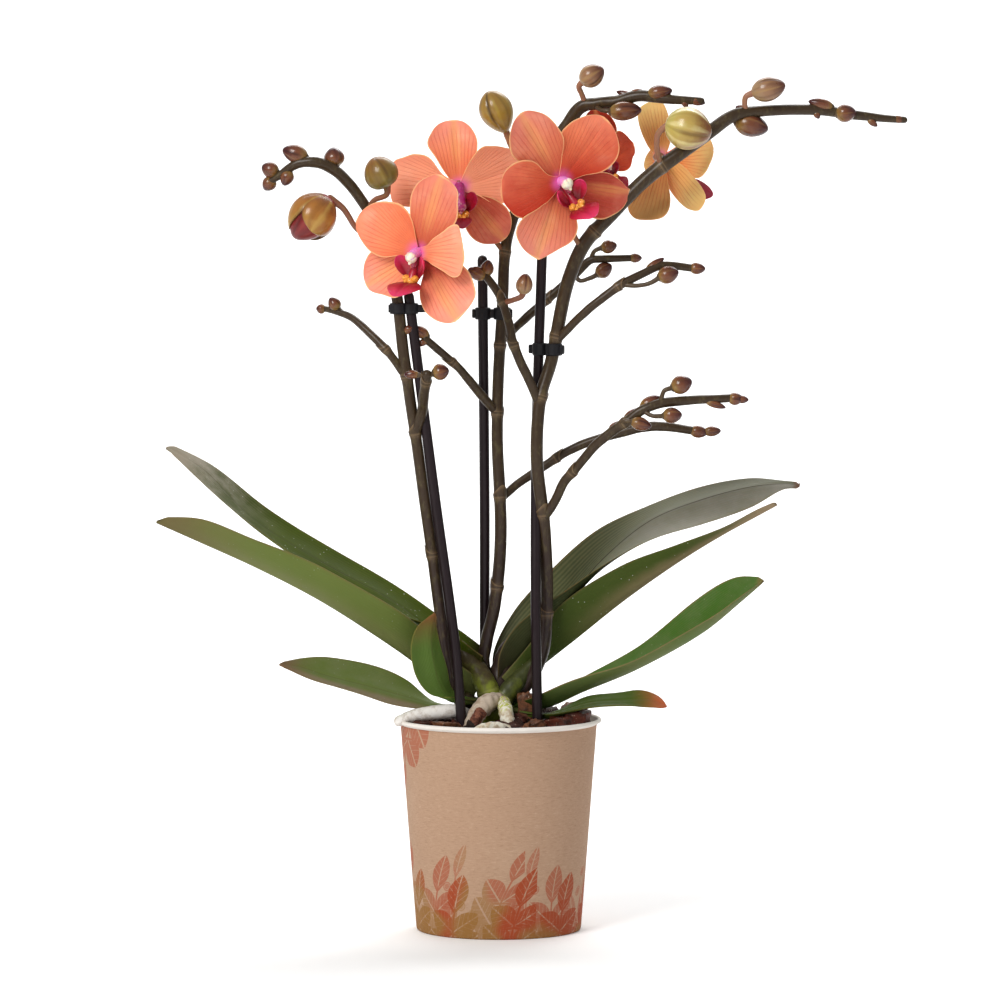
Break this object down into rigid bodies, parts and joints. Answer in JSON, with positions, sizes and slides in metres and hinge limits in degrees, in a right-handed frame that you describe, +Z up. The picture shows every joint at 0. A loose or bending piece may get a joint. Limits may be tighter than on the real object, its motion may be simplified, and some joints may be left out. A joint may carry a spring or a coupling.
{
  "type": "potted moth orchid",
  "caption": "Moth orchid in bloom: staked flower spikes with salmon-orange flowers and buds over broad strap leaves, potted in bark in a tapered kraft card sleeve.",
  "frame": {"origin": "middle of the pot's underside, on the surface it stands on", "axes": "+Z up, +X to the right and -Y towards the viewer of the front, where the flowers face"},
  "size_m": [0.3427, 0.1072, 0.3986],
  "materials": {
    "card": "plain kraft card, matte, with a white rolled lip",
    "base_card": "uncoated white card disc",
    "clear_plastic": "thin clear grow pot",
    "bark": "loose dark bark chips with reddish and tan flakes",
    "root": "whitish grey aerial roots, dry and matte",
    "crown": "light yellow-green stem base",
    "leaf": "thick green leaf, satin, with a dusty bloom",
    "stake": "dark purple-black coated cane, satin",
    "clip": "black moulded clip",
    "stem": "dark olive-brown flower stem, semi-gloss",
    "column": "waxy white to lilac",
    "lip": "waxy crimson to magenta with a yellow crest",
    "petal": "soft salmon orange with fine veins",
    "sepal": "brownish salmon pink, paler rim",
    "bud": "yellow-green to olive brown, waxy"
  },
  "bodies": {
    "root": {"pot_sleeve": "card", "pot_base": "base_card", "grow_pot": "clear_plastic", "bark_medium": "bark", "root_left": "root", "root_arch": "root", "root_right": "root", "root_front": "root", "crown": "crown", "leaf_left_back": "leaf", "leaf_right_back": "leaf", "leaf_left_long": "leaf", "leaf_right_long": "leaf", "leaf_right_mid": "leaf", "leaf_left_low": "leaf", "leaf_left_young": "leaf", "leaf_right_low": "leaf", "stake_left": "stake", "stake_mid": "stake", "stake_right": "stake", "clip_left": "clip", "clip_mid": "clip", "clip_right": "clip", "spike_left": "stem", "spike_mid": "stem", "spike_right": "stem", "flower_1_column": "column", "flower_1_lip": "lip", "flower_1_petal_left": "petal", "flower_1_petal_right": "petal", "flower_1_sepals": "sepal", "flower_2_column": "column", "flower_2_lip": "lip", "flower_2_petal_left": "petal", "flower_2_petal_right": "petal", "flower_2_sepals": "sepal", "flower_3_column": "column", "flower_3_lip": "lip", "flower_3_petal_left": "petal", "flower_3_petal_right": "petal", "flower_3_sepals": "sepal", "flower_4_column": "column", "flower_4_lip": "lip", "flower_4_petal_left": "petal", "flower_4_petal_right": "petal", "flower_4_sepals": "sepal", "flower_5_column": "column", "flower_5_lip": "lip", "flower_5_petal_left": "petal", "flower_5_petal_right": "petal", "flower_5_sepals": "sepal", "bud_half_open": "bud", "bud_green_left": "bud", "bud_green_top": "bud", "bud_yellow_right": "bud", "bud_brown_top": "bud", "bud_brown_right": "bud", "bud_brown_mid": "bud"}
  },
  "joints": []
}
